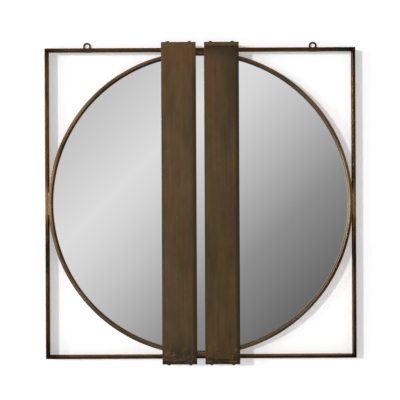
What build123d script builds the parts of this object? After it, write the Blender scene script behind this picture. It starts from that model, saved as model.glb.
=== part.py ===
from build123d import *
import os

os.makedirs("parts", exist_ok=True)

# Wall mirror, in millimetres. The wall is the plane y = 0 and the room lies on its -Y side. +Z is up.
# The origin is the point of the wall behind the centre of the glass. A depth is a distance from the wall.

# Square frame of four flat bars on edge
frame_side = 914.4
bar_face = 8.0
bar_depth = 25.0
bar_round = 0.6
wall_gap = 3.0

# Hoop rolled from flat bar, welded to the frame at the four nearest points
hoop_face = 8.0
hoop_gap = 1.5
weld_reach = 33.0
weld_inset = 1.0
weld_clearance = 0.1

# Glass, foam tape and backing board, stacked inside the hoop with the board flush with its back
rim_clearance = 0.3
glass_thickness = 4.0
glass_arris = 0.8
tape_thickness = 1.0
tape_width = 25.0
tape_length = 160.0
tape_inset = 40.0
tape_count = 8
board_thickness = 4.0

# Clips on the back of the hoop, each screwed to the board
clip_count = 8
clip_start_angle = 22.5
clip_width = 16.0
clip_length = 32.0
clip_thickness = 1.2
clip_edge_inset = 1.0
clip_corner_radius = 2.0
clip_screw_inset = 14.0
clip_screw_diameter = 2.9
clip_screw_clearance = 0.1
clip_screw_head_diameter = 5.6
clip_screw_head_height = 1.5
clip_screw_bite = 3.4

# Two sheet bands in front, their ends bent back over carrier blocks
band_width = 101.6
band_gap = 24.0
band_sheet = 3.0
band_standoff = 18.0
band_bend_radius = 9.0
band_flange_depth = 30.0
band_edge_round = 0.8
carrier_thickness = 12.0
carrier_side_inset = 2.0
carrier_front_clearance = 1.0
carrier_chamfer = 1.0

# Button head bolts and washers, two at each band end
bolt_diameter = 6.0
bolt_length = 12.0
bolt_head_diameter = 10.5
bolt_head_height = 3.3
bolt_head_round = 2.5
bolt_socket_flats = 4.0
bolt_socket_depth = 2.0
bolt_tip_chamfer = 0.7
bolt_setback = 17.0
bolt_edge_distance = 18.8
bolt_thread_clearance = 0.05
flange_hole_clearance = 0.3
washer_diameter = 12.0
washer_thickness = 1.0
washer_hole_clearance = 0.2

# Hanging eyes behind the top bar, and rubber bumpers behind the corners
hanger_inset = 121.2
hanger_width = 23.0
hanger_hole_diameter = 13.0
hanger_hole_rise = 10.2
hanger_round = 0.4
bumper_diameter = 7.4
bumper_inset = 40.0
bumper_round = 1.0

# Depths from the wall
frame_back = wall_gap
frame_front = frame_back + bar_depth
board_front = frame_back + board_thickness
tape_front = board_front + tape_thickness
clip_back = frame_back - clip_thickness
band_front = frame_front + band_standoff
bolt_depth = band_front - bolt_setback
carrier_front = band_front - band_bend_radius - carrier_front_clearance

# Distances from the centre
frame_outer = frame_side / 2
frame_inner = frame_outer - bar_face
hoop_outer = frame_inner - hoop_gap
hoop_inner = hoop_outer - hoop_face
disc_radius = hoop_inner - rim_clearance
clip_outer_end = hoop_outer - clip_edge_inset
clip_screw_radius = hoop_inner - clip_screw_inset
flange_seat = frame_outer + carrier_thickness
band_end = flange_seat + band_sheet
band_centre = (band_gap + band_width) / 2
bolt_offset = band_width / 2 - bolt_edge_distance
hanger_centre = frame_outer - hanger_inset
hanger_hole_height = frame_outer + hanger_hole_rise
bumper_centre = frame_outer - bumper_inset
bar_middle = frame_outer - bar_face / 2

# Turns that take the top of the frame to each side, seen from the room
side_turns = {"top": 0, "left": 90, "bottom": 180, "right": 270}
hand_signs = {"left": -1, "right": 1}
end_signs = {"top": 1, "bottom": -1}


def face_plane(depth, turn=0):
    """A plane parallel to the wall, facing the room, turned about the mirror's centre."""
    across = Vector(1, 0, 0).rotate(Axis.Y, -turn)
    return Plane(origin=(0, -depth, 0), x_dir=across, z_dir=(0, -1, 0))


# Four mitred bars, each drawn as the top one and turned to its side
for side, turn in side_turns.items():
    bar_plane = face_plane(frame_back, turn)
    with BuildPart() as frame_bar:
        with BuildSketch(bar_plane):
            with BuildLine():
                Polyline(
                    (-frame_outer, frame_outer),
                    (frame_outer, frame_outer),
                    (frame_inner, frame_inner),
                    (-frame_inner, frame_inner),
                    close=True,
                )
            make_face()
        extrude(amount=bar_depth)
        long_edges = frame_bar.edges().filter_by(Axis((0, 0, 0), bar_plane.x_dir))
        fillet(long_edges, radius=bar_round)
    frame_bar.part.label = f"frame_{side}_bar"
    export_step(frame_bar.part, f"parts/frame_{side}_bar.step")

# Hoop, flush with the frame front and back
with BuildPart() as hoop:
    with BuildSketch(face_plane(frame_back)):
        Circle(hoop_outer)
        Circle(hoop_inner, mode=Mode.SUBTRACT)
    extrude(amount=bar_depth)
    fillet(hoop.edges().filter_by(GeomType.CIRCLE), radius=bar_round)
hoop.part.label = "hoop"
export_step(hoop.part, "parts/hoop.step")

# Welds that fill the gap between the hoop and each bar around the point where they are nearest
with BuildPart() as hoop_welds:
    for turn in side_turns.values():
        with BuildSketch(face_plane(frame_back + weld_inset, turn)):
            with Locations((0, frame_inner)):
                Rectangle(2 * weld_reach, weld_reach, align=(Align.CENTER, Align.MAX))
            Circle(hoop_outer + weld_clearance, mode=Mode.SUBTRACT)
        extrude(amount=bar_depth - 2 * weld_inset)
hoop_welds.part.label = "hoop_welds"
export_step(hoop_welds.part, "parts/hoop_welds.step")

# Backing board with a pilot hole for each clip screw
with BuildPart() as backing_board:
    with BuildSketch(face_plane(frame_back)):
        Circle(disc_radius)
    extrude(amount=board_thickness)
    with BuildSketch(face_plane(frame_back)):
        with PolarLocations(clip_screw_radius, clip_count, start_angle=clip_start_angle):
            Circle((clip_screw_diameter + clip_screw_clearance) / 2)
    extrude(amount=clip_screw_bite + clip_screw_clearance, mode=Mode.SUBTRACT)
backing_board.part.label = "backing_board"
export_step(backing_board.part, "parts/backing_board.step")

# Foam tape strips between the board and the glass, laid like spokes
with BuildPart() as foam_tape:
    with BuildSketch(face_plane(board_front)):
        with PolarLocations(disc_radius - tape_inset - tape_length / 2, tape_count):
            Rectangle(tape_length, tape_width)
    extrude(amount=tape_thickness)
foam_tape.part.label = "foam_tape"
export_step(foam_tape.part, "parts/foam_tape.step")

# Round mirror glass with ground arrises
with BuildPart() as mirror_glass:
    with BuildSketch(face_plane(tape_front)):
        Circle(disc_radius)
    extrude(amount=glass_thickness)
    chamfer(mirror_glass.edges().filter_by(GeomType.CIRCLE), length=glass_arris)
mirror_glass.part.label = "mirror_glass"
export_step(mirror_glass.part, "parts/mirror_glass.step")

# Flat clips that lap the back of the hoop and the board
with BuildPart() as board_clips:
    with BuildSketch(face_plane(clip_back)):
        with PolarLocations(clip_outer_end - clip_length / 2, clip_count, start_angle=clip_start_angle):
            RectangleRounded(clip_length, clip_width, radius=clip_corner_radius)
        with PolarLocations(clip_screw_radius, clip_count, start_angle=clip_start_angle):
            Circle(clip_screw_diameter / 2 + clip_screw_clearance, mode=Mode.SUBTRACT)
    extrude(amount=clip_thickness)
board_clips.part.label = "board_clips"
export_step(board_clips.part, "parts/board_clips.step")

# Pan head screws through the clips into the board
with BuildPart() as clip_screws:
    with BuildSketch(face_plane(clip_back)):
        with PolarLocations(clip_screw_radius, clip_count, start_angle=clip_start_angle):
            Circle(clip_screw_head_diameter / 2)
    extrude(amount=-clip_screw_head_height)
    head_rims = clip_screws.edges().filter_by(GeomType.CIRCLE).group_by(Axis.Y)[-1]
    fillet(head_rims, radius=clip_screw_head_height / 2)
    with BuildSketch(face_plane(clip_back)):
        with PolarLocations(clip_screw_radius, clip_count, start_angle=clip_start_angle):
            Circle(clip_screw_diameter / 2)
    extrude(amount=clip_thickness + clip_screw_bite)
clip_screws.part.label = "clip_screws"
export_step(clip_screws.part, "parts/clip_screws.step")

# Sheet bands: one long face with both ends bent back into a drilled flange
for hand, hand_sign in hand_signs.items():
    band_side_plane = Plane.YZ.offset(hand_sign * band_centre - band_width / 2)
    with BuildPart() as band:
        with BuildSketch(band_side_plane):
            with BuildLine():
                FilletPolyline(
                    (band_flange_depth - band_front, band_end),
                    (-band_front, band_end),
                    (-band_front, -band_end),
                    (band_flange_depth - band_front, -band_end),
                    radius=band_bend_radius,
                )
                offset(amount=band_sheet, side=Side.LEFT)
            make_face()
        extrude(amount=band_width)
        side_edges = band.faces().filter_by(Axis.X).edges()
        fillet(side_edges, radius=band_edge_round)
        with BuildSketch(Plane((hand_sign * band_centre, -bolt_depth, 0))):
            with Locations((-bolt_offset, 0), (bolt_offset, 0)):
                Circle(bolt_diameter / 2 + flange_hole_clearance)
        extrude(amount=band_end, both=True, mode=Mode.SUBTRACT)
    band.part.label = f"band_{hand}"
    export_step(band.part, f"parts/band_{hand}.step")

# Carrier blocks, welded on the outer face of the bar and tapped for the bolts
for end, end_sign in end_signs.items():
    for hand, hand_sign in hand_signs.items():
        carrier_middle = (frame_back + carrier_front) / 2
        carrier_plane = Plane((hand_sign * band_centre, -carrier_middle, end_sign * frame_outer))
        with BuildPart() as carrier:
            with BuildSketch(carrier_plane):
                Rectangle(band_width - 2 * carrier_side_inset, carrier_front - frame_back)
                with Locations(
                    (-bolt_offset, carrier_middle - bolt_depth),
                    (bolt_offset, carrier_middle - bolt_depth),
                ):
                    Circle(bolt_diameter / 2 + bolt_thread_clearance, mode=Mode.SUBTRACT)
            extrude(amount=end_sign * carrier_thickness)
            chamfer(carrier.edges().filter_by(Axis.X), length=carrier_chamfer)
        carrier.part.label = f"carrier_{end}_{hand}"
        export_step(carrier.part, f"parts/carrier_{end}_{hand}.step")

# Where a bolt stands: the outer face of a flange, with +Z of the place pointing away from the frame
bolt_places = [
    Location(
        (hand_sign * band_centre + side_sign * bolt_offset, -bolt_depth, end_sign * band_end),
        (0 if end_sign > 0 else 180, 0, 0),
    )
    for end_sign in end_signs.values()
    for hand_sign in hand_signs.values()
    for side_sign in (-1, 1)
]

# One washer at the origin, then all of them in place
with BuildPart() as washer:
    with BuildSketch():
        Circle(washer_diameter / 2)
        Circle(bolt_diameter / 2 + washer_hole_clearance, mode=Mode.SUBTRACT)
    extrude(amount=washer_thickness)

with BuildPart() as band_washers:
    with Locations(bolt_places):
        add(washer.part)
band_washers.part.label = "band_washers"
export_step(band_washers.part, "parts/band_washers.step")

# One bolt standing on its washer: a rounded head with a hexagon socket, and a shank that points down
with BuildPart() as bolt:
    with BuildSketch(Plane.XY.offset(washer_thickness)):
        Circle(bolt_head_diameter / 2)
    extrude(amount=bolt_head_height)
    fillet(bolt.edges().group_by(Axis.Z)[-1], radius=bolt_head_round)
    with BuildSketch(Plane.XY.offset(washer_thickness + bolt_head_height)):
        RegularPolygon(bolt_socket_flats / 2, 6, major_radius=False)
    extrude(amount=-bolt_socket_depth, mode=Mode.SUBTRACT)
    with BuildSketch(Plane.XY.offset(washer_thickness)):
        Circle(bolt_diameter / 2)
    extrude(amount=-bolt_length)
    chamfer(bolt.edges().group_by(Axis.Z)[0], length=bolt_tip_chamfer)

with BuildPart() as band_bolts:
    with Locations(bolt_places):
        add(bolt.part)
band_bolts.part.label = "band_bolts"
export_step(band_bolts.part, "parts/band_bolts.step")

# Hanging eyes: round-topped tabs welded on the back of the top bar, flat against the wall
for hand, hand_sign in hand_signs.items():
    with BuildPart() as hanger:
        with BuildSketch(Plane.XZ):
            with Locations((hand_sign * hanger_centre, hanger_hole_height)):
                Circle(hanger_width / 2)
                Rectangle(hanger_width, hanger_hole_height - frame_inner, align=(Align.CENTER, Align.MAX))
                Circle(hanger_hole_diameter / 2, mode=Mode.SUBTRACT)
        extrude(amount=wall_gap)
        front_rim = hanger.edges().filter_by(GeomType.CIRCLE).sort_by(SortBy.RADIUS)[-2:].sort_by(Axis.Y)[0]
        fillet(front_rim, radius=hanger_round)
    hanger.part.label = f"hanger_{hand}"
    export_step(hanger.part, f"parts/hanger_{hand}.step")

# Rubber bumpers near the ends of the top and bottom bars
with BuildPart() as wall_bumpers:
    with BuildSketch(Plane.XZ):
        with Locations(
            (-bumper_centre, bar_middle),
            (bumper_centre, bar_middle),
            (-bumper_centre, -bar_middle),
            (bumper_centre, -bar_middle),
        ):
            Circle(bumper_diameter / 2)
    extrude(amount=wall_gap)
    fillet(wall_bumpers.edges().group_by(Axis.Y)[-1], radius=bumper_round)
wall_bumpers.part.label = "wall_bumpers"
export_step(wall_bumpers.part, "parts/wall_bumpers.step")
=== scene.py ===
import math

import bpy
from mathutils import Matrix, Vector


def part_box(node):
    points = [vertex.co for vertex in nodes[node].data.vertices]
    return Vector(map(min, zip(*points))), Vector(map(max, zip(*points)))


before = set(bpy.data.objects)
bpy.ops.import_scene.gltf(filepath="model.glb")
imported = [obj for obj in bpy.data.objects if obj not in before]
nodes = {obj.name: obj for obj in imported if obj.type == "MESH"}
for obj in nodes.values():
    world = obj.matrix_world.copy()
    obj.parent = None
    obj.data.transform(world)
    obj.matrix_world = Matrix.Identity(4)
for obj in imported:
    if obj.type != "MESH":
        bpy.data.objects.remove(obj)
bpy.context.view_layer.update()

# Square frame
# Four mild steel flat bars stand on edge, mitred and welded at the corners, with the welds dressed flush. They are
# stained dark antique bronze, rubbed back by hand, and ground flat where the hoop is welded to the uprights.

MM = 0.001
bar_face = 8 * MM

# Distances from the middle of a bar. Each pair is where a mark is missing and where it is full.
darker_ends = (360 * MM, 450 * MM)
ground_weld = (65 * MM, 20 * MM)
pool_below_weld = 152 * MM
pool_half_length = (60 * MM, 25 * MM)

# The lacquer is dull, so what a bar reflects at a glancing angle is brown and not white
dull_rim = (0.62, 0.5, 0.4, 1.0)


def srgb(code):
    """The linear colour of a hex sRGB code, with full alpha."""
    shares = [int(code[i:i + 2], 16) / 255 for i in (1, 3, 5)]
    return tuple(s / 12.92 if s <= 0.04045 else ((s + 0.055) / 1.055) ** 2.4 for s in shares) + (1.0,)


def add_node(tree, kind, inputs=None, **settings):
    """Adds a node, with its settings and with each input either linked from a socket or set to a value."""
    node = tree.nodes.new(kind)
    for name, value in settings.items():
        setattr(node, name, value)
    for socket, value in (inputs or {}).items():
        if isinstance(value, bpy.types.NodeSocket):
            tree.links.new(value, node.inputs[socket])
        else:
            node.inputs[socket].default_value = value
    return node


def lay_over(tree, under, over, share, *reaches):
    """Lays one colour over another, with this share where all the reaches are full. A reach is a value, the number
    at which it gives nothing and the number at which it is full."""
    for value, missing, full in reaches:
        reached = add_node(tree, "ShaderNodeMapRange", {"Value": value, "From Min": missing, "From Max": full},
                           interpolation_type="SMOOTHSTEP")
        share = add_node(tree, "ShaderNodeMath", {0: reached.outputs[0], 1: share},
                         operation="MULTIPLY").outputs[0]
    return add_node(tree, "ShaderNodeMix", {"Factor": share, "A": under, "B": over}, data_type="RGBA").outputs[2]


def new_material(name):
    """An empty node material."""
    material = bpy.data.materials.new(name)
    material.use_nodes = True
    material.node_tree.nodes.clear()
    return material


def finish_node(node, material):
    """Gives a carried-over CAD node its finish."""
    nodes[node].data.materials.clear()
    nodes[node].data.materials.append(material)


def bronze_bar_material(name, lie, tone, rim):
    """Steel flat bar in antique bronze stain, lying level, upright or rolled round. The tone scales its colour,
    which on the uprights is painted shade or painted light, and the rim is the tint of what it reflects at a
    glancing angle."""
    material = new_material(name)
    tree = material.node_tree
    place = add_node(tree, "ShaderNodeTexCoord").outputs["Object"]
    axes = add_node(tree, "ShaderNodeSeparateXYZ", {0: place}).outputs
    if lie == "level":
        along, across = axes["X"], axes["Z"]
    elif lie == "upright":
        along, across = axes["Z"], axes["X"]
    else:
        middle_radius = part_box("hoop")[1].x - bar_face / 2
        angle = add_node(tree, "ShaderNodeMath", {0: axes["Z"], 1: axes["X"]}, operation="ARCTAN2").outputs[0]
        along = add_node(tree, "ShaderNodeMath", {0: angle, 1: middle_radius}, operation="MULTIPLY").outputs[0]
        flat = add_node(tree, "ShaderNodeCombineXYZ", {"X": axes["X"], "Y": axes["Z"]}).outputs[0]
        across = add_node(tree, "ShaderNodeVectorMath", {0: flat}, operation="LENGTH").outputs["Value"]
    bar = add_node(tree, "ShaderNodeCombineXYZ", {"X": along, "Y": across, "Z": axes["Y"]}).outputs[0]

    def spread(length, width):
        """The bar's own coordinates, counted in patches of this length and width in millimetres."""
        counts = (1 / (length * MM), 1 / (width * MM), 1 / (width * MM))
        return add_node(tree, "ShaderNodeVectorMath", {0: bar, 1: counts}, operation="MULTIPLY").outputs[0]

    # Hand rubbing leaves paler patches a hand's grip long, and the stain turns red where it was thin. The real
    # brushed grain is about 0.1 mm wide, and is drawn 1.4 mm wide so that it shows.
    patches = add_node(tree, "ShaderNodeTexNoise", {"Vector": spread(48, 14), "Scale": 1.0, "Detail": 4.0,
                                                    "Roughness": 0.6}).outputs["Fac"]
    hues = add_node(tree, "ShaderNodeTexNoise", {"Vector": spread(120, 40), "Scale": 1.0,
                                                 "Detail": 2.0}).outputs["Fac"]
    grain = add_node(tree, "ShaderNodeTexNoise", {"Vector": spread(22, 1.4), "Scale": 1.0,
                                                  "Detail": 3.0}).outputs["Fac"]
    rubbed = add_node(tree, "ShaderNodeMapRange", {"Value": patches, "From Min": 0.38, "From Max": 0.64})
    redness = add_node(tree, "ShaderNodeMapRange", {"Value": hues, "From Min": 0.46, "From Max": 0.6,
                                                    "To Max": 0.8})
    stain = add_node(tree, "ShaderNodeMix", {"Factor": rubbed.outputs[0], "A": srgb("#4a331a"),
                                             "B": srgb("#735734")}, data_type="RGBA")
    warm = add_node(tree, "ShaderNodeMix", {"Factor": redness.outputs[0], "A": stain.outputs[2],
                                            "B": srgb("#6b431d")}, data_type="RGBA")
    colour = warm.outputs[2]
    if lie == "round":
        # The hoop was turned in the hands while it was rubbed, which left long paler stretches. The noise slice is
        # picked so that they also paint a highlight where the hoop shows lit, on its upper left.
        stretches = add_node(tree, "ShaderNodeTexNoise", {"Vector": spread(230, 80), "W": 3.3, "Scale": 1.0,
                                                          "Detail": 1.0}, noise_dimensions="4D")
        rubbed_and_lit = add_node(tree, "ShaderNodeMapRange", {"Value": stretches.outputs["Fac"], "From Min": 0.4,
                                                        "From Max": 0.62, "To Max": 0.8})
        colour = add_node(tree, "ShaderNodeMix", {"Factor": rubbed_and_lit.outputs[0], "A": colour,
                                                  "B": srgb("#a38562")}, data_type="RGBA").outputs[2]
    else:
        # The colour darkens towards both ends of each bar, at the corners
        from_middle = add_node(tree, "ShaderNodeMath", {0: along}, operation="ABSOLUTE").outputs[0]
        colour = lay_over(tree, colour, srgb("#3a2817"), 1.0, (from_middle, *darker_ends))
    if lie == "upright":
        # Stain ran down from the weld and pooled below it, and the ground weld is palest
        above_pool = add_node(tree, "ShaderNodeMath", {0: along, 1: pool_below_weld}, operation="ADD").outputs[0]
        from_pool = add_node(tree, "ShaderNodeMath", {0: above_pool}, operation="ABSOLUTE").outputs[0]
        colour = lay_over(tree, colour, srgb("#2e2215"), 0.8, (from_pool, *pool_half_length))
        colour = lay_over(tree, colour, srgb("#a5835a"), 0.75, (from_middle, *ground_weld))
    streak = add_node(tree, "ShaderNodeMapRange", {"Value": grain, "From Min": 0.3, "From Max": 0.7,
                                                   "To Min": 0.84 * tone, "To Max": 1.14 * tone})
    toned = add_node(tree, "ShaderNodeVectorMath", {0: colour, "Scale": streak.outputs[0]}, operation="SCALE")
    gloss = add_node(tree, "ShaderNodeMapRange", {"Value": patches, "From Min": 0.3, "From Max": 0.7,
                                                  "To Min": 0.32, "To Max": 0.22})
    relief = add_node(tree, "ShaderNodeBump", {"Height": grain, "Strength": 0.2, "Distance": 0.1 * MM})
    metal = add_node(tree, "ShaderNodeBsdfPrincipled", {"Base Color": toned.outputs[0], "Metallic": 0.95,
                                                        "Roughness": gloss.outputs[0], "Specular Tint": rim,
                                                        "Normal": relief.outputs[0]})
    add_node(tree, "ShaderNodeOutputMaterial", {"Surface": metal.outputs[0]})
    return material


# Stained bronze on steel bar: dark brown metal with paler and redder patches along it and a satin shine. The left
# upright's colour is scaled darker and the right one's lighter, as painted shade and painted light that set how
# bright each shows under these lamps.
level_bar_bronze = bronze_bar_material("antique_bronze_bar_level", "level", tone=1.0, rim=dull_rim)
for side in ("top", "bottom"):
    finish_node(f"frame_{side}_bar", level_bar_bronze)
for side, tone in (("left", 0.75), ("right", 1.15)):
    upright_bar_bronze = bronze_bar_material(f"antique_bronze_bar_{side}", "upright", tone=tone, rim=dull_rim)
    finish_node(f"frame_{side}_bar", upright_bar_bronze)

# Hoop and the welds that join it to the frame
# The hoop is the same flat bar, rolled on edge into a ring, so its grain and its patches run round it.
# Weld metal fills the narrow gap at the four nearest points and is stained with the rest.

# Rolling polished the bar's sides, so they reflect more at a glancing angle than the frame's
polished_rim = (0.85, 0.8, 0.74, 1.0)
hoop_bronze = bronze_bar_material("antique_bronze_bar_rolled", "round", tone=1.0, rim=polished_rim)
finish_node("hoop", hoop_bronze)
finish_node("hoop_welds", hoop_bronze)

# Carrier blocks and hanging eyes
# Short blocks of flat bar are welded on the outside of the top and bottom bars to carry the bands.
# The eyes are round-topped tabs of sheet, welded on the back of the top bar.

for end in ("top", "bottom"):
    for hand in ("left", "right"):
        finish_node(f"carrier_{end}_{hand}", level_bar_bronze)

# The same stain, never rubbed back: nearly black, with faint brown blotches and little shine
unrubbed_bronze = new_material("unrubbed_antique_bronze")
tree = unrubbed_bronze.node_tree
place = add_node(tree, "ShaderNodeTexCoord").outputs["Object"]
blotches = add_node(tree, "ShaderNodeTexNoise", {"Vector": place, "Scale": 1 / (6 * MM), "Detail": 3.0})
shade = add_node(tree, "ShaderNodeMix", {"Factor": blotches.outputs["Fac"], "A": srgb("#2b2219"),
                                         "B": srgb("#5a4936")}, data_type="RGBA")
tab = add_node(tree, "ShaderNodeBsdfPrincipled", {"Base Color": shade.outputs[2], "Metallic": 0.8,
                                                  "Roughness": 0.4})
add_node(tree, "ShaderNodeOutputMaterial", {"Surface": tab.outputs[0]})
for hand in ("left", "right"):
    finish_node(f"hanger_{hand}", unrubbed_bronze)

# Bands
# Each band is one strip of 3 mm steel sheet, brushed lengthwise, drilled, and bent back at both ends. It is stained
# antique bronze under a satin lacquer and bolted to the carriers.

band_low, band_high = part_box("band_right")
band_middle = (band_low.x + band_high.x) / 2
band_half_width = (band_high.x - band_low.x) / 2
crease_height = band_high.z - 15.5 * MM

# Brushed and stained sheet: long upright clouds of olive, red and dark brown, fine streaks, darker long edges and
# a soft satin shine
band_bronze = new_material("brushed_antique_bronze_sheet")
tree = band_bronze.node_tree
place = add_node(tree, "ShaderNodeTexCoord").outputs["Object"]
axes = add_node(tree, "ShaderNodeSeparateXYZ", {0: place}).outputs


def stretched(width, height):
    """The sheet's coordinates, counted in clouds of this width and height in millimetres."""
    counts = (1 / (width * MM), 1 / (width * MM), 1 / (height * MM))
    return add_node(tree, "ShaderNodeVectorMath", {0: place, 1: counts}, operation="MULTIPLY").outputs[0]


# Each W picks the slice of noise whose clouds lie most like the real ones
olive_clouds = add_node(tree, "ShaderNodeTexNoise", {"Vector": stretched(22, 130), "W": 1.7, "Scale": 1.0,
                                                     "Detail": 3.0}, noise_dimensions="4D")
red_clouds = add_node(tree, "ShaderNodeTexNoise", {"Vector": stretched(20, 90), "W": 3.1, "Scale": 1.0,
                                                   "Detail": 4.0}, noise_dimensions="4D")
dark_clouds = add_node(tree, "ShaderNodeTexNoise", {"Vector": stretched(40, 140), "W": 6.4, "Scale": 1.0,
                                                    "Detail": 4.0}, noise_dimensions="4D")
olive = add_node(tree, "ShaderNodeMapRange", {"Value": olive_clouds.outputs["Fac"], "From Min": 0.4,
                                              "From Max": 0.62})
red = add_node(tree, "ShaderNodeMapRange", {"Value": red_clouds.outputs["Fac"], "From Min": 0.5,
                                            "From Max": 0.7, "To Max": 0.55})
dark = add_node(tree, "ShaderNodeMapRange", {"Value": dark_clouds.outputs["Fac"], "From Min": 0.42,
                                             "From Max": 0.66, "To Max": 0.6})
base = add_node(tree, "ShaderNodeMix", {"Factor": olive.outputs[0], "A": srgb("#634d34"),
                                        "B": srgb("#5e4c28")}, data_type="RGBA")
reddened = add_node(tree, "ShaderNodeMix", {"Factor": red.outputs[0], "A": base.outputs[2],
                                            "B": srgb("#6a452e")}, data_type="RGBA")
clouded = add_node(tree, "ShaderNodeMix", {"Factor": dark.outputs[0], "A": reddened.outputs[2],
                                           "B": srgb("#453629")}, data_type="RGBA")
colour = clouded.outputs[2]

# The long edges are darker: the left one a little, where stain gathered, and the right one much more, as painted
# shade on the side turned away from the light
hand_sign = add_node(tree, "ShaderNodeMath", {0: axes["X"]}, operation="SIGN").outputs[0]
own_middle = add_node(tree, "ShaderNodeMath", {0: hand_sign, 1: band_middle}, operation="MULTIPLY").outputs[0]
off_middle = add_node(tree, "ShaderNodeMath", {0: axes["X"], 1: own_middle}, operation="SUBTRACT").outputs[0]
colour = lay_over(tree, colour, srgb("#3e2b12"), 0.85,
                  (off_middle, band_half_width - 17 * MM, band_half_width - 4 * MM))
colour = lay_over(tree, colour, srgb("#3e2b12"), 0.4,
                  (off_middle, 6 * MM - band_half_width, 1 * MM - band_half_width))

# Near its top the left strip is rubbed to a rust brown, and the right one runs from rust brown to a dark right
# edge. Near the bottom the left one is clouded with blue-black stain, and the right one with brown.
on_left = (axes["X"], 1 * MM, -1 * MM)
on_right = (axes["X"], -1 * MM, 1 * MM)
patch_breakup = add_node(tree, "ShaderNodeTexNoise", {"Vector": place, "Scale": 1 / (26 * MM), "Detail": 5.0,
                                             "Roughness": 0.7}).outputs["Fac"]
colour = lay_over(tree, colour, srgb("#6d4c2c"), 0.6, on_left, (axes["Z"], 360 * MM, 440 * MM))
colour = lay_over(tree, colour, srgb("#6a4830"), 0.6, on_right, (axes["Z"], 240 * MM, 340 * MM),
                  (off_middle, 10 * MM, -30 * MM))
colour = lay_over(tree, colour, srgb("#3d302a"), 0.6, on_right, (axes["Z"], 200 * MM, 340 * MM),
                  (off_middle, -10 * MM, 40 * MM))
colour = lay_over(tree, colour, srgb("#36291f"), 0.7, on_right, (axes["Z"], 420 * MM, 456 * MM))
colour = lay_over(tree, colour, srgb("#35302e"), 0.8, on_left, (axes["Z"], -400 * MM, -440 * MM),
                  (patch_breakup, 0.4, 0.56))
colour = lay_over(tree, colour, srgb("#31251b"), 0.8, on_right, (axes["Z"], -430 * MM, -455 * MM),
                  (patch_breakup, 0.45, 0.6))

# The right strip is dark along a thin line where each bend starts. Past it the top bends are lighter, as painted
# light on bends that face up towards the light, and the bottom bends are darker, as painted shade on bends that
# face down, with a broken painted highlight line where they turn. All four are painted dark at their very ends, as
# painted shade where the bends turn away, and worn spots are scattered near the bottom.
upper = (axes["Z"], -1 * MM, 1 * MM)
lower = (axes["Z"], 1 * MM, -1 * MM)
height = add_node(tree, "ShaderNodeMath", {0: axes["Z"]}, operation="ABSOLUTE").outputs[0]
past_crease = add_node(tree, "ShaderNodeMath", {0: height, 1: crease_height}, operation="SUBTRACT").outputs[0]
off_crease = add_node(tree, "ShaderNodeMath", {0: past_crease}, operation="ABSOLUTE").outputs[0]
spots = add_node(tree, "ShaderNodeTexNoise", {"Vector": place, "Scale": 1 / (14 * MM),
                                              "Detail": 3.0}).outputs["Fac"]
colour = lay_over(tree, colour, srgb("#6b4e30"), 0.75, upper, (past_crease, 0.5 * MM, 2.5 * MM))
colour = lay_over(tree, colour, srgb("#241a12"), 0.8, on_right, (off_crease, 3 * MM, 1 * MM), (patch_breakup, 0.62, 0.44))
colour = lay_over(tree, colour, srgb("#2d2119"), 0.6, lower, (past_crease, 1 * MM, 4 * MM))
colour = lay_over(tree, colour, srgb("#967349"), 0.7, lower, (past_crease, 3 * MM, 4.5 * MM),
                  (past_crease, 8 * MM, 6.5 * MM), (patch_breakup, 0.5, 0.58))
colour = lay_over(tree, colour, srgb("#2a231d"), 0.8, (past_crease, 11 * MM, 14 * MM))
colour = lay_over(tree, colour, srgb("#8f6c40"), 0.45, (axes["Z"], -390 * MM, -430 * MM), (spots, 0.62, 0.7))

# The real brushing lines are about 0.2 mm wide, and are drawn 3.2 mm wide so that they show
brushing = add_node(tree, "ShaderNodeTexNoise", {"Vector": stretched(3.2, 260), "Scale": 1.0, "Detail": 4.0,
                                                 "Roughness": 0.6}).outputs["Fac"]
mottle = add_node(tree, "ShaderNodeTexNoise", {"Vector": stretched(13, 24), "Scale": 1.0, "Detail": 4.0,
                                               "Roughness": 0.6}).outputs["Fac"]
streak = add_node(tree, "ShaderNodeMapRange", {"Value": brushing, "From Min": 0.3, "From Max": 0.7,
                                               "To Min": 0.87, "To Max": 1.1})
blotch = add_node(tree, "ShaderNodeMapRange", {"Value": mottle, "From Min": 0.3, "From Max": 0.7,
                                               "To Min": 0.9, "To Max": 1.1})
strength = add_node(tree, "ShaderNodeMath", {0: streak.outputs[0], 1: blotch.outputs[0]}, operation="MULTIPLY")
toned = add_node(tree, "ShaderNodeVectorMath", {0: colour, "Scale": strength.outputs[0]}, operation="SCALE")
gloss = add_node(tree, "ShaderNodeMapRange", {"Value": brushing, "From Min": 0.3, "From Max": 0.7,
                                              "To Min": 0.5, "To Max": 0.42})
relief = add_node(tree, "ShaderNodeBump", {"Height": brushing, "Strength": 0.2, "Distance": 0.2 * MM})
metal = add_node(tree, "ShaderNodeBsdfPrincipled", {"Base Color": toned.outputs[0], "Metallic": 0.7,
                                                    "Roughness": gloss.outputs[0], "Normal": relief.outputs[0]})
add_node(tree, "ShaderNodeOutputMaterial", {"Surface": metal.outputs[0]})
for hand in ("left", "right"):
    finish_node(f"band_{hand}", band_bronze)

# Band bolts and washers
# Steel button head bolts with hexagon sockets, and flat washers. They hold the bent ends of the bands on the
# carriers.

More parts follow.
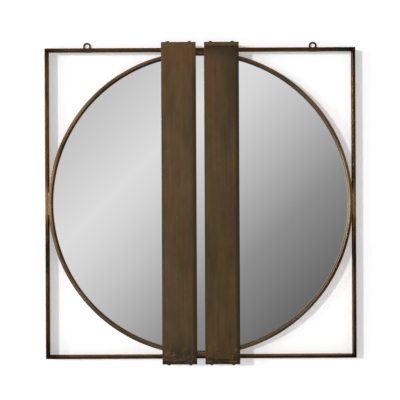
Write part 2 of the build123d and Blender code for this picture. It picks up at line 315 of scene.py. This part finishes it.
# Black oxide with a film of oil: nearly black, with a small, sharp highlight
black_oxide = new_material("black_oxide_steel")
tree = black_oxide.node_tree
place = add_node(tree, "ShaderNodeTexCoord").outputs["Object"]
mottle = add_node(tree, "ShaderNodeTexNoise", {"Vector": place, "Scale": 1 / (2.5 * MM), "Detail": 2.0})
shade = add_node(tree, "ShaderNodeMix", {"Factor": mottle.outputs["Fac"], "A": srgb("#15110e"),
                                         "B": srgb("#2b2520")}, data_type="RGBA")
oxide = add_node(tree, "ShaderNodeBsdfPrincipled", {"Base Color": shade.outputs[2], "Metallic": 0.6,
                                                    "Roughness": 0.25})
add_node(tree, "ShaderNodeOutputMaterial", {"Surface": oxide.outputs[0]})
finish_node("band_bolts", black_oxide)
finish_node("band_washers", black_oxide)

# Mirror glass
# A disc of 4 mm clear float glass with arrised edges, silvered on its back. Foam tape bonds it to the board, deep
# inside the hoop.

# Silvered glass: a sharp, nearly neutral reflection over the whole disc
silvered_glass = new_material("silvered_float_glass")
tree = silvered_glass.node_tree
place = add_node(tree, "ShaderNodeTexCoord").outputs["Object"]
haze = add_node(tree, "ShaderNodeTexNoise", {"Vector": place, "Scale": 1 / (120 * MM), "Detail": 1.0})
tint = add_node(tree, "ShaderNodeMix", {"Factor": haze.outputs["Fac"], "A": srgb("#f2f2f2"),
                                        "B": srgb("#f4f4f4")}, data_type="RGBA")
silver = add_node(tree, "ShaderNodeBsdfPrincipled", {"Base Color": tint.outputs[2], "Metallic": 1.0,
                                                     "Roughness": 0.0})
add_node(tree, "ShaderNodeOutputMaterial", {"Surface": silver.outputs[0]})
finish_node("mirror_glass", silvered_glass)

# Backing board
# A disc of 4 mm hardboard, pressed from wood fibres. It closes the back of the hoop and carries the glass, and
# clips hold it there.

# Bare hardboard: dull dark brown with a fine random fleck. Its fibres are drawn 3 mm wide so that they show.
hardboard = new_material("hardboard")
tree = hardboard.node_tree
place = add_node(tree, "ShaderNodeTexCoord").outputs["Object"]
fibres = add_node(tree, "ShaderNodeTexNoise", {"Vector": place, "Scale": 1 / (3 * MM), "Detail": 6.0,
                                               "Roughness": 0.7}).outputs["Fac"]
shade = add_node(tree, "ShaderNodeMix", {"Factor": fibres, "A": srgb("#4a3829"), "B": srgb("#6b523b")},
                 data_type="RGBA")
relief = add_node(tree, "ShaderNodeBump", {"Height": fibres, "Strength": 0.3, "Distance": 0.2 * MM})
board = add_node(tree, "ShaderNodeBsdfPrincipled", {"Base Color": shade.outputs[2], "Roughness": 0.75,
                                                    "Normal": relief.outputs[0]})
add_node(tree, "ShaderNodeOutputMaterial", {"Surface": board.outputs[0]})
finish_node("backing_board", hardboard)

# Foam tape
# Eight strips of white closed-cell foam with adhesive on both faces. They are pressed between the board and the
# glass, where nothing shows them.

# Closed-cell foam: matt white, with the cells just visible on the cut edges
foam = new_material("closed_cell_foam")
tree = foam.node_tree
place = add_node(tree, "ShaderNodeTexCoord").outputs["Object"]
cells = add_node(tree, "ShaderNodeTexVoronoi", {"Vector": place, "Scale": 1 / (0.8 * MM)})
shade = add_node(tree, "ShaderNodeMix", {"Factor": cells.outputs["Distance"], "A": srgb("#e6e5e1"),
                                         "B": srgb("#cfcdc8")}, data_type="RGBA")
soft = add_node(tree, "ShaderNodeBsdfPrincipled", {"Base Color": shade.outputs[2], "Roughness": 0.9})
add_node(tree, "ShaderNodeOutputMaterial", {"Surface": soft.outputs[0]})
finish_node("foam_tape", foam)

# Board clips and their screws
# Eight flat steel clips, welded on the back of the hoop, reach over the board. One small screw through each holds
# the board against it.

# Zinc plate: bright grey metal, slightly mottled in colour and shine
zinc = new_material("zinc_plated_steel")
tree = zinc.node_tree
place = add_node(tree, "ShaderNodeTexCoord").outputs["Object"]
mottle = add_node(tree, "ShaderNodeTexNoise", {"Vector": place, "Scale": 1 / (4 * MM),
                                               "Detail": 3.0}).outputs["Fac"]
shade = add_node(tree, "ShaderNodeMix", {"Factor": mottle, "A": srgb("#a9acae"), "B": srgb("#cdcfcf")},
                 data_type="RGBA")
gloss = add_node(tree, "ShaderNodeMapRange", {"Value": mottle, "To Min": 0.25, "To Max": 0.45})
plate = add_node(tree, "ShaderNodeBsdfPrincipled", {"Base Color": shade.outputs[2], "Metallic": 1.0,
                                                    "Roughness": gloss.outputs[0]})
add_node(tree, "ShaderNodeOutputMaterial", {"Surface": plate.outputs[0]})
finish_node("board_clips", zinc)
finish_node("clip_screws", zinc)

# Wall bumpers
# Four round pads of soft moulded rubber, glued on the backs of the top and bottom bars. They keep the frame off the
# wall.

# Soft rubber: matt black with a little dust
rubber = new_material("soft_black_rubber")
tree = rubber.node_tree
place = add_node(tree, "ShaderNodeTexCoord").outputs["Object"]
dust = add_node(tree, "ShaderNodeTexNoise", {"Vector": place, "Scale": 1 / (1.5 * MM), "Detail": 3.0})
shade = add_node(tree, "ShaderNodeMix", {"Factor": dust.outputs["Fac"], "A": srgb("#1b1b1b"),
                                         "B": srgb("#303030")}, data_type="RGBA")
pad = add_node(tree, "ShaderNodeBsdfPrincipled", {"Base Color": shade.outputs[2], "Roughness": 0.8})
add_node(tree, "ShaderNodeOutputMaterial", {"Surface": pad.outputs[0]})
finish_node("wall_bumpers", rubber)

# Studio wall and floor
# A white painted wall and a pale floor. Each is seen from its front only, so that it never hides the back.

wall_y = 0.5 * MM
floor_z = -1.5
room_reach = 6.0


def studio_sheet(name, corners):
    """A flat sheet through these corners, facing the side from which they run anticlockwise."""
    mesh = bpy.data.meshes.new(name)
    mesh.from_pydata(corners, [], [range(len(corners))])
    sheet = bpy.data.objects.new(name, mesh)
    bpy.context.scene.collection.objects.link(sheet)
    return sheet


def studio_paint(name, code, glow):
    """Matt paint that also glows a little to the camera, so that it shows nearly white and keeps its shadows. It
    is clear from behind."""
    material = new_material(name)
    tree = material.node_tree
    ray = add_node(tree, "ShaderNodeLightPath").outputs["Is Camera Ray"]
    behind = add_node(tree, "ShaderNodeNewGeometry").outputs["Backfacing"]
    strength = add_node(tree, "ShaderNodeMath", {0: ray, 1: glow}, operation="MULTIPLY").outputs[0]
    paint = add_node(tree, "ShaderNodeBsdfPrincipled", {"Base Color": srgb(code), "Roughness": 1.0,
                                                        "Specular IOR Level": 0.0,
                                                        "Emission Color": (1.0, 1.0, 1.0, 1.0),
                                                        "Emission Strength": strength})
    clear = add_node(tree, "ShaderNodeBsdfTransparent")
    mixed = add_node(tree, "ShaderNodeMixShader", {0: behind, 1: paint.outputs[0], 2: clear.outputs[0]})
    add_node(tree, "ShaderNodeOutputMaterial", {"Surface": mixed.outputs[0]})
    return material


wall = studio_sheet("studio_wall", [(-room_reach, wall_y, floor_z), (room_reach, wall_y, floor_z),
                                    (room_reach, wall_y, room_reach), (-room_reach, wall_y, room_reach)])
wall.data.materials.append(studio_paint("white_wall_paint", "#e0e0e0", glow=0.355))
wall.visible_shadow = False
floor = studio_sheet("studio_floor", [(-room_reach, -room_reach, floor_z), (room_reach, -room_reach, floor_z),
                                      (room_reach, wall_y, floor_z), (-room_reach, wall_y, floor_z)])
floor.data.materials.append(studio_paint("pale_floor_paint", "#e7e7e7", glow=0.2))
floor.visible_glossy = False

# Studio light
# A far key light to the left and a little above throws the crisp shadows, a weaker one further round softens them,
# and the room fills the rest. A third light shows the back in views from behind.


def area_light(name, place, size, level):
    """A square light that points at the origin, and there makes a white surface facing the room this bright."""
    reach = -Vector(place)
    data = bpy.data.lights.new(name, "AREA")
    data.size = size
    slant = abs(reach.normalized().y)
    data.energy = level * math.pi ** 2 * reach.length_squared / slant
    light = bpy.data.objects.new(name, data)
    light.location = place
    light.rotation_euler = reach.to_track_quat("-Z", "Y").to_euler()
    light.visible_camera = False
    bpy.context.scene.collection.objects.link(light)


area_light("key_light", (-12.9, -13.8, 3.9), size=1.5, level=0.42)
area_light("side_light", (-16.8, -8.4, 2.7), size=2.7, level=0.1)
area_light("back_light", (1.5, 4.0, 1.5), size=2.5, level=0.5)

# Studio room
# What glass and metal reflect is the room behind the camera. The part that the glass shows from the front is
# bright on the upper left and dark on the lower right. It is drawn as shades along that diagonal of a direction.

room_fill = 0.35
room_brightness = 1.1
background_white = 0.98
room_shades = ((-0.205, "#c2c2c2"), (-0.145, "#d1d1d1"), (-0.094, "#dddddd"), (-0.06, "#d7d7d7"),
               (0.0, "#c3c3c3"), (0.05, "#adadad"), (0.11, "#8e8e8e"), (0.2, "#6c6c6c"), (0.26, "#606060"))
ramp_reach = 0.35

world = bpy.data.worlds.new("studio_room")
bpy.context.scene.world = world
world.use_nodes = True
tree = world.node_tree
tree.nodes.clear()
rays = add_node(tree, "ShaderNodeLightPath").outputs
direction = add_node(tree, "ShaderNodeTexCoord").outputs["Generated"]
down_right = (math.sqrt(0.5), 0, -math.sqrt(0.5))
diagonal = add_node(tree, "ShaderNodeVectorMath", {0: direction, 1: down_right}, operation="DOT_PRODUCT")
position = add_node(tree, "ShaderNodeMapRange", {"Value": diagonal.outputs["Value"], "From Min": -ramp_reach,
                                                 "From Max": ramp_reach})
shading = add_node(tree, "ShaderNodeValToRGB", {0: position.outputs[0]})
stops = shading.color_ramp.elements
for i, (share, code) in enumerate(room_shades):
    stop = stops[i] if i < 2 else stops.new(1.0)
    stop.position = (share + ramp_reach) / (2 * ramp_reach)
    stop.color = srgb(code)

# Round that part the room is dim, with a lit screen on the left, and far out to the sides it is pale again, and
# paler above than below. The numbers are sideways parts of a direction of length 1.
front_part = (0.215, 0.26)
far_sides = (0.42, 0.7)
screen_colour = (2.5, 2.45, 2.3, 1.0)
screen_right_edge = (-0.19, -0.27)
screen_left_edge = (-0.52, -0.42)
screen_middle = 0.05
screen_half_height = (0.24, 0.1)
parts = add_node(tree, "ShaderNodeSeparateXYZ", {0: direction}).outputs
sideways = add_node(tree, "ShaderNodeCombineXYZ", {"X": parts["X"], "Y": parts["Z"]}).outputs[0]
aside = add_node(tree, "ShaderNodeVectorMath", {0: sideways}, operation="LENGTH").outputs["Value"]
above_screen = add_node(tree, "ShaderNodeMath", {0: parts["Z"], 1: screen_middle},
                        operation="SUBTRACT").outputs[0]
off_screen = add_node(tree, "ShaderNodeMath", {0: above_screen}, operation="ABSOLUTE").outputs[0]
sides = lay_over(tree, srgb("#9a9a9a"), srgb("#cfcfcf"), 1.0, (parts["Z"], -0.5, 0.5))
surroundings = lay_over(tree, srgb("#3e3e3e"), sides, 1.0, (aside, *far_sides))
surroundings = lay_over(tree, surroundings, screen_colour, 1.0, (parts["X"], *screen_right_edge),
                        (parts["X"], *screen_left_edge), (off_screen, *screen_half_height))
room = lay_over(tree, shading.outputs[0], surroundings, 1.0, (aside, *front_part))

# Glossy rays see the room, the camera sees plain white, and the rest of the light is even
shown = add_node(tree, "ShaderNodeBackground", {"Color": room, "Strength": room_brightness})
fill = add_node(tree, "ShaderNodeBackground", {"Color": (1.0, 1.0, 1.0, 1.0), "Strength": room_fill})
seen = add_node(tree, "ShaderNodeBackground", {"Color": (1.0, 1.0, 1.0, 1.0), "Strength": background_white})
lit = add_node(tree, "ShaderNodeMixShader", {0: rays["Is Glossy Ray"], 1: fill.outputs[0], 2: shown.outputs[0]})
whole = add_node(tree, "ShaderNodeMixShader", {0: rays["Is Camera Ray"], 1: lit.outputs[0], 2: seen.outputs[0]})
add_node(tree, "ShaderNodeOutputWorld", {"Surface": whole.outputs[0]})

# Camera
# It stands square to the wall, 2.1 m away, just off the middle of the mirror and tilted a little to one side, as
# in the photograph.

camera_tilt = math.radians(0.28)
camera_data = bpy.data.cameras.new("camera")
camera_data.lens = 63.4
camera_data.sensor_width = 36.0
camera = bpy.data.objects.new("camera", camera_data)
camera.location = (-1.7 * MM, -2.1, 9.1 * MM)
camera.rotation_euler = (math.radians(90), camera_tilt, 0)
bpy.context.scene.collection.objects.link(camera)
bpy.context.scene.camera = camera
bpy.context.scene.view_settings.view_transform = "Standard"
